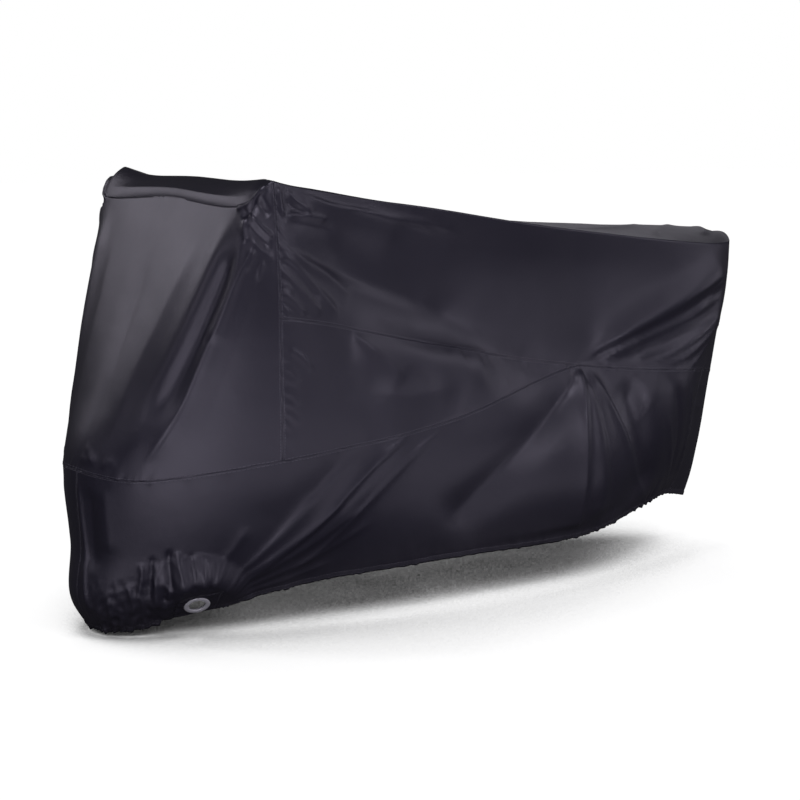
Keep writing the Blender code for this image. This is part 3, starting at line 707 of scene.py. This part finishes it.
def build_skin(hold):
    """The creased skin: points, cells, each cell's panel, the patches' borders, values and flat places."""
    skin = Skin()
    girths = girth_lines()
    body_rows, wedge_rows, skirt_rows = map(row_shares, (BODY_ROWS, WEDGE_ROWS, SKIRT_ROWS))
    patches = {}
    for side, name in ((1, "near"), (-1, "far")):
        edge, seam_a, hem = (height(c, side * girths) for c in ("edge", "seam_a", "hem"))
        seam_b = np.where(girths < TIP, height("seam_b", side * girths), seam_a)
        arch = np.argmin(np.abs(girths - ARCH))
        tip = np.argmin(np.abs(girths - TIP))
        share = (edge[arch] - seam_a[arch]) / (edge[arch] - seam_b[arch])
        front_rows = np.concatenate([share * body_rows, share + (1 - share) * wedge_rows[1:]])
        sheets = (
            ("front_panel", slice(arch + 1), edge, seam_b, front_rows),
            ("body_panel", slice(arch, None), edge, seam_a, body_rows),
            (f"wedge_{name}", slice(arch, tip + 1), seam_a, seam_b, wedge_rows),
            (None, slice(None), seam_b, hem, skirt_rows),
        )
        for panel, part, top, bottom, shares in sheets:
            z = top[part] + (bottom - top)[part] * shares[:, None]
            g = np.broadcast_to(side * girths[part], z.shape)
            flat = np.stack([g, z], axis=-1)
            ids, cells = skin.grid(wall(g, z), g, z, wall_rise(g, z), flat, side < 0)
            if panel:
                skin.add(panel, cells)
                continue
            middle_g = (girths[1:] + girths[:-1]) / 2
            middle_s = (shares[1:] + shares[:-1]) / 2
            names = skirt_panel(side, *np.meshgrid(middle_g, middle_s))
            for found in sorted(set(names.ravel())):
                if found.startswith("eyelet_tab"):
                    rows, columns = np.nonzero(names == found)
                    inner = ids[rows.min() : rows.max() + 2, columns.min() : columns.max() + 2]
                    loop = [inner[:-1, 0], inner[-1, :-1], inner[:0:-1, -1], inner[0, :0:-1]]
                    patches[name] = np.concatenate(loop)[:: -1 if side < 0 else 1]
                skin.add(found, cells[names == found])
    front = girths[girths <= SHOULDER + 1e-9] / SHOULDER
    across = np.concatenate([-front[:0:-1], front])
    along_girth = girths[(girths >= SHOULDER - 1e-9) & (girths <= TAIL + 1e-9)]
    across, along = np.meshgrid(across, (along_girth - SHOULDER) / (TAIL - SHOULDER))
    g = SHOULDER + (TAIL - SHOULDER) * along
    flat = np.stack([g, 1.2 + 0.3 * across], axis=-1)
    _, cells = skin.grid(roof(across, along), g, np.nan, 0.0, flat, True)
    split = along_girth[:-1] < ARCH - 1e-6
    skin.add("front_panel", cells[split])
    skin.add("body_panel", cells[~split])

    base, (girth, z, rise), flat, cells, names, number = skin.weld()
    points = base + normals_of(base, cells) * rise[:, None]
    quiet = np.ones(len(points))
    for side in ("near", "far"):
        centre, normal = eyelet_place(side)
        start = centre + hold + (0, 0, TAB_DROP)
        away = points - start
        share = 1 - ease((np.linalg.norm(away, axis=1) - TAB_FLAT) / TAB_FLAT_FADE)
        points = points - share[:, None] * ((away @ normal)[:, None] * normal + (0, 0, TAB_DROP))
        quiet *= ease((np.linalg.norm(points - centre - hold, axis=1) - EYELET_RIM) / PATCH_QUIET)
    normals = normals_of(points, cells)
    places = seam_places(girth, z, base)
    rise = creases_rise(base, normals) + puckers_rise(places, girth)
    rise += SWELL_RISE * waves(base, SWELL_SEED, SWELL_LENGTH)
    rise += RIPPLE_RISE * waves(base, RIPPLE_SEED, RIPPLE_LENGTH, 24)
    toe = ease((TOE_GIRTH[1] - girth) / 0.06) * ease((girth - TOE_GIRTH[0]) / 0.10)
    toe *= ease((TOE_TOP - places["hem"][1]) / 0.08)
    crumples = TOE_RISE * (0.6 - np.abs(waves(base, TOE_SEED, TOE_LENGTH, 24)))
    rise += np.where(np.isnan(z), 0.0, toe * crumples)
    points = points + normals * ((rise + welts(places)) * quiet)[:, None] - hold
    away, run = nearest_seam(places)
    hem = np.where(places["hem"][2], places["hem"][1], 9.0)
    patches = {side: number[loop] for side, loop in patches.items()}
    return points, cells, names, patches, {"seam_away": away, "seam_run": run, "hem_away": hem}, flat


def border(cells):
    """Edges that belong to one of these cells only, as (from, to) with the cell on the left."""
    edges = np.concatenate([cells[:, [k, (k + 1) % 4]] for k in range(4)])
    edges = edges[edges[:, 0] != edges[:, 1]]
    known = set(map(tuple, edges))
    return np.array([edge for edge in known if edge[::-1] not in known])


def new_object(name, points, faces, values, flat, material):
    """A smooth mesh object from arrays of faces, values for each point, and flat places for its UVs."""
    mesh = bpy.data.meshes.new(name)
    mesh.from_pydata(points, [], [face for block in faces for face in block.tolist()])
    mesh.materials.append(material)
    mesh.shade_smooth()
    for key, value in values.items():
        mesh.attributes.new(key, "FLOAT", "POINT").data.foreach_set("value", value.astype(np.float32))
    if flat is not None:
        corner = np.empty(len(mesh.loops), dtype=np.int32)
        mesh.loops.foreach_get("vertex_index", corner)
        layer = mesh.uv_layers.new(name="cloth")
        layer.data.foreach_set("uv", flat[corner].astype(np.float32).ravel())
    item = bpy.data.objects.new(name, mesh)
    bpy.context.scene.collection.objects.link(item)
    return item


def panel_object(name, cells, points, normals, free, values, flat, material):
    """One panel: outer face, inner face and rim. It draws back a little from the seams round it."""
    cells = cells[(cells[:, 0] != cells[:, 1]) | (cells[:, 2] != cells[:, 3])]
    edges = border(cells)
    used, own = np.unique(cells, return_inverse=True)
    own = own.reshape(cells.shape)
    place = np.full(len(points), -1)
    place[used] = np.arange(len(used))
    outer = points[used].copy()
    sewn = np.array([edge for edge in edges if tuple(edge) not in free]).reshape(-1, 2)
    across = np.cross(normals[sewn[:, 0]] + normals[sewn[:, 1]], points[sewn[:, 1]] - points[sewn[:, 0]])
    across /= np.maximum(np.linalg.norm(across, axis=1), 1e-12)[:, None]
    shift = np.zeros_like(outer)
    for k in range(2):
        np.add.at(shift, place[sewn[:, k]], across)
    size = np.linalg.norm(shift, axis=1)
    outer += shift / np.maximum(size, 1e-9)[:, None] * (SEAM_GAP / 2) * (size > 0.1)[:, None]
    depth = THIN + (HEM_THIN - THIN) * ease((HEM_TURN - values["hem_away"][used]) / HEM_TURN_FADE)
    inner = outer - normals[used] * depth[:, None]
    count = len(used)
    rim = place[edges][:, ::-1]
    faces = [own, own[:, ::-1] + count, np.hstack([rim, rim[:, ::-1] + count])]
    kept = {key: np.tile(value[used], 2) for key, value in values.items()}
    both = np.concatenate([outer, inner])
    return new_object(name + "_cloth", both, faces, kept, np.tile(flat[used], (2, 1)), material)


def ring_faces(rings, sides):
    """Faces of rings of points, each ring joined to the next and the last to the first."""
    k = np.arange(sides)
    blocks = []
    for r in range(rings):
        here, there = r * sides, (r + 1) % rings * sides
        after = (k + 1) % sides
        blocks.append(np.stack([here + k, here + after, there + after, there + k], axis=1))
    return blocks


def patch_object(side, loop, points, normals, values, flat, material):
    """The patch round an eyelet, from the skirt's border in to a round hole, gathered a little."""
    centre, normal = eyelet_place(side)
    out = points[loop] - centre
    flat_out = out - (out @ normal)[:, None] * normal
    way = flat_out / np.linalg.norm(flat_out, axis=1)[:, None]
    angle = np.unwrap(np.arctan2(way @ np.cross(normal, (0, 0, 1.0)), way[:, 2]))
    edge = points[loop]
    middle = edge.mean(0)
    edge = edge + (middle - edge) / np.linalg.norm(middle - edge, axis=1)[:, None] * SEAM_GAP / 2
    shares = np.linspace(0, 1, PATCH_RINGS)
    hole = centre + way * PATCH_HOLE
    rings = []
    for share in shares:
        ring = edge * (1 - share) + hole * share
        lift = 0.0016 * np.sin(9 * angle + 1.0) * np.sin(pi * min(1.0, share * 1.5)) ** 2 * (share < 0.66)
        rings.append(ring + normal * lift[:, None])
    ways = [normals[loop] * (1 - s) + normal * s for s in shares]
    backs = [ring - w * HEM_THIN for ring, w in zip(rings, ways)]
    sides, count = len(loop), 2 * PATCH_RINGS
    kept = {key: np.tile(value[loop], count) for key, value in values.items()}
    kept["seam_away"] = np.tile(np.repeat(shares, sides) * 0.03, 2)
    points, flat = np.concatenate(rings + backs[::-1]), np.tile(flat[loop], (count, 1))
    return new_object(f"eyelet_tab_{side}_cloth", points, ring_faces(count, sides), kept, flat, material)


def eyelet_object(side, material):
    """The turned metal eyelet: a rolled flange, a barrel through the cloth and a washer behind it."""
    centre, normal = eyelet_place(side)
    across = np.cross(normal, (0, 0, 1.0))
    across /= np.linalg.norm(across)
    up = np.cross(normal, across)
    angles = 2 * pi * np.arange(EYELET_SIDES) / EYELET_SIDES
    round_way = np.cos(angles)[:, None] * across + np.sin(angles)[:, None] * up
    points = np.concatenate([centre + normal * h + round_way * r for r, h in EYELET_PROFILE])
    faces = ring_faces(len(EYELET_PROFILE), EYELET_SIDES)
    return new_object(f"eyelet_{side}_metal", points, faces, {}, None, material)


class Graph:
    """Short calls for building a material's nodes."""

    def __init__(self, name):
        self.material = bpy.data.materials.new(name)
        self.material.use_nodes = True
        self.nodes = self.material.node_tree.nodes
        self.links = self.material.node_tree.links
        self.shader = self.nodes["Principled BSDF"]

    def node(self, kind, inputs=(), **settings):
        """A node with its settings, and its inputs given as (socket, value or output) pairs."""
        made = self.nodes.new(kind)
        for key, value in settings.items():
            setattr(made, key, value)
        for socket, value in inputs:
            self.feed(made.inputs[socket], value)
        return made

    def feed(self, socket, value):
        if isinstance(value, bpy.types.NodeSocket):
            self.links.new(value, socket)
        else:
            socket.default_value = value

    def math(self, operation, a, b=0.5, c=0.5):
        return self.node("ShaderNodeMath", ((0, a), (1, b), (2, c)), operation=operation).outputs[0]

    def near(self, value, middle, half):
        """1 where value is within half of middle, falling smoothly to 0."""
        off = self.math("ABSOLUTE", self.math("SUBTRACT", value, middle))
        return self.ramp(off, half, half * 0.4)

    def ramp(self, value, low, high, least=0.0):
        """From least to 1 as value goes from low to high."""
        pairs = (("Value", value), ("From Min", low), ("From Max", high), ("To Min", least))
        return self.node("ShaderNodeMapRange", pairs).outputs[0]

    def mix(self, factor, a, b):
        made = self.node("ShaderNodeMix", data_type="RGBA")
        for socket, value in ((0, factor), (6, a), (7, b)):
            self.feed(made.inputs[socket], value)
        return made.outputs[2]

    def noise(self, coordinates, scale, detail, rough=0.5):
        pairs = (("Vector", coordinates), ("Scale", scale), ("Detail", detail), ("Roughness", rough))
        return self.node("ShaderNodeTexNoise", pairs).outputs["Fac"]

    def bump(self, height, distance, strength, before=None):
        pairs = [("Height", height), ("Distance", distance), ("Strength", strength)]
        if before is not None:
            pairs.append(("Normal", before))
        return self.node("ShaderNodeBump", pairs).outputs["Normal"]


def cloth_material():
    """Dark coated cloth: fine weave, soft crumples, a stitched row beside each seam, and slight wear."""
    g = Graph("cover_cloth")
    object_place = g.node("ShaderNodeTexCoord").outputs["Object"]
    cloth_place = g.node("ShaderNodeUVMap", uv_map="cloth").outputs["UV"]
    away = g.node("ShaderNodeAttribute", attribute_name="seam_away").outputs["Fac"]
    run = g.node("ShaderNodeAttribute", attribute_name="seam_run").outputs["Fac"]
    hem = g.node("ShaderNodeAttribute", attribute_name="hem_away").outputs["Fac"]

    # weave: crossing threads
    apart = g.node("ShaderNodeSeparateXYZ", ((0, cloth_place),))
    threads = [g.math("SINE", g.math("MULTIPLY", apart.outputs[k], 2 * pi / WEAVE)) for k in (0, 1)]
    weave = g.math("MULTIPLY", threads[0], threads[1])
    # a few finer creases than the mesh has
    crumple = g.noise(object_place, 16.0, 5.0, 0.55)
    fine = g.noise(object_place, 70.0, 4.0, 0.6)
    ridged = g.math("ABSOLUTE", g.math("SUBTRACT", fine, 0.5))
    # stitches
    dash = g.math("PINGPONG", g.math("DIVIDE", run, STITCH_PITCH), 1.0)
    stitch = g.math("MULTIPLY", g.near(away, STITCH, 0.0008), g.ramp(dash, 0.25, 0.40))

    tone = g.noise(object_place, 3.0, 3.0)
    dark, light = ((*(c * k for c in CLOTH_COLOUR), 1.0) for k in (0.86, 1.16))
    colour = g.mix(tone, dark, light)
    spots = g.math("MULTIPLY", g.noise(object_place, 30.0, 3.0), 0.25)
    worn = g.math("MULTIPLY", g.near(away, 0.0, 0.006), spots)
    dust_spots = g.math("MULTIPLY", g.noise(object_place, 12.0, 4.0), 0.22)
    dust = g.math("MULTIPLY", g.ramp(hem, 0.12, 0.0), dust_spots)
    for share, paint in ((worn, WORN_COLOUR), (dust, DUST_COLOUR), (stitch, THREAD_COLOUR)):
        colour = g.mix(share, colour, (*paint, 1.0))
    g.feed(g.shader.inputs["Base Color"], colour)

    gloss = g.math("MULTIPLY_ADD", g.noise(object_place, 5.0, 4.0), 0.10, ROUGHNESS - 0.05)
    g.feed(g.shader.inputs["Roughness"], g.math("MULTIPLY_ADD", dust, 0.5, gloss))
    g.shader.inputs["Specular IOR Level"].default_value = 0.80
    g.shader.inputs["Specular Tint"].default_value = (0.96, 0.93, 1.0, 1.0)

    normal = g.bump(crumple, 0.004, 0.12)
    normal = g.bump(ridged, 0.0012, 0.30, normal)
    normal = g.bump(weave, 0.00012, 0.12, normal)
    normal = g.bump(stitch, 0.0006, 0.8, normal)
    g.feed(g.shader.inputs["Normal"], normal)
    return g.material


def metal_material():
    """Bright plated metal with fine turning marks and a few dull spots."""
    g = Graph("eyelet_metal")
    place = g.node("ShaderNodeTexCoord").outputs["Object"]
    spots = g.noise(place, 260.0, 4.0)
    g.feed(g.shader.inputs["Base Color"], g.mix(spots, (0.80, 0.80, 0.83, 1.0), (0.95, 0.95, 0.96, 1.0)))
    g.feed(g.shader.inputs["Roughness"], g.math("MULTIPLY_ADD", spots, 0.20, 0.30))
    g.shader.inputs["Metallic"].default_value = 0.25
    g.feed(g.shader.inputs["Normal"], g.bump(g.noise(place, 900.0, 2.0), 0.0002, 0.25))
    return g.material


def aimed(name, data, place, aim):
    """A light or a camera at a place, turned to look at its aim."""
    item = bpy.data.objects.new(name, data)
    item.location = place
    item.rotation_euler = (Vector(aim) - Vector(place)).to_track_quat("-Z", "Y").to_euler()
    bpy.context.scene.collection.objects.link(item)
    return item


def studio():
    """Pale floor with a painted contact shadow round and under the cover, soft lights, and the camera at the
    photograph's angle.
    """
    world = bpy.data.worlds.new("studio")
    bpy.context.scene.world = world
    world.use_nodes = True
    nodes, links = world.node_tree.nodes, world.node_tree.links
    seen = nodes.new("ShaderNodeLightPath").outputs["Is Camera Ray"]
    level = nodes.new("ShaderNodeMapRange")
    level.inputs["To Min"].default_value = WORLD_LIGHT
    links.new(seen, level.inputs["Value"])
    links.new(level.outputs[0], nodes["Background"].inputs["Strength"])
    nodes["Background"].inputs["Color"].default_value = (1.0, 1.0, 1.0, 1.0)

    g = Graph("floor_paper")
    g.shader.inputs["Base Color"].default_value = (0.07, 0.07, 0.07, 1.0)
    g.shader.inputs["Roughness"].default_value = 0.9
    g.shader.inputs["Emission Color"].default_value = (1.0, 1.0, 1.0, 1.0)
    # painted shadow: the floor's glow seen by the camera is dimmed by ambient occlusion, dark under the
    # cover and grey round its hem
    glow = g.node("ShaderNodeLightPath").outputs["Is Camera Ray"]
    painted_shadow_ao = g.node("ShaderNodeAmbientOcclusion", (("Distance", 1.1),), samples=8).outputs["AO"]
    glow = g.math("MULTIPLY", glow, g.ramp(painted_shadow_ao, 0.40, 0.66, 0.01))
    g.feed(g.shader.inputs["Emission Strength"], g.math("MULTIPLY_ADD", glow, 1.0, FLOOR_LIGHT))
    corners = [(x * FLOOR_HALF, y * FLOOR_HALF, 0) for x, y in ((-1, -1), (1, -1), (1, 1), (-1, 1))]
    floor = new_object("floor", corners, [np.array([[0, 1, 2, 3]])], {}, None, g.material)
    floor.location = (0, 0, FLOOR)

    for light in LIGHTS:
        data = bpy.data.lights.new(light.name, "AREA")
        data.shape, data.size, data.size_y = "RECTANGLE", *light.size
        data.energy, data.color = light.power, light.colour
        aimed(light.name, data, light.place, light.aim).visible_camera = False

    data = bpy.data.cameras.new("camera")
    data.lens, data.sensor_width, data.clip_end = LENS, 36.0, 100.0
    bpy.context.scene.camera = aimed("camera", data, CAMERA, CAMERA_AIM)
    bpy.context.scene.view_settings.view_transform = "Standard"


def main():
    studio()
    hold = roof(np.zeros(1), np.full(1, HOLD_ALONG))[0] - (0, 0, CLOTH + FIT_GAP)
    points, cells, names, patches, values, flat = build_skin(hold)
    normals = normals_of(points, cells)
    free = set(map(tuple, border(cells)))
    cloth, metal = cloth_material(), metal_material()
    for name, cut in CUTS.items():
        if name.startswith("eyelet_tab"):
            side = name.split("_")[-1]
            piece = patch_object(side, patches[side], points, normals, values, flat, cloth)
        else:
            own = cells[names == name]
            piece = panel_object(name, own, points, normals, free, values, flat, cloth)
        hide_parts(name)
        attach(piece, "root")
    for side in ("near", "far"):
        piece = eyelet_object(side, metal)
        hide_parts("eyelet_" + side)
        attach(piece, "root")


main()
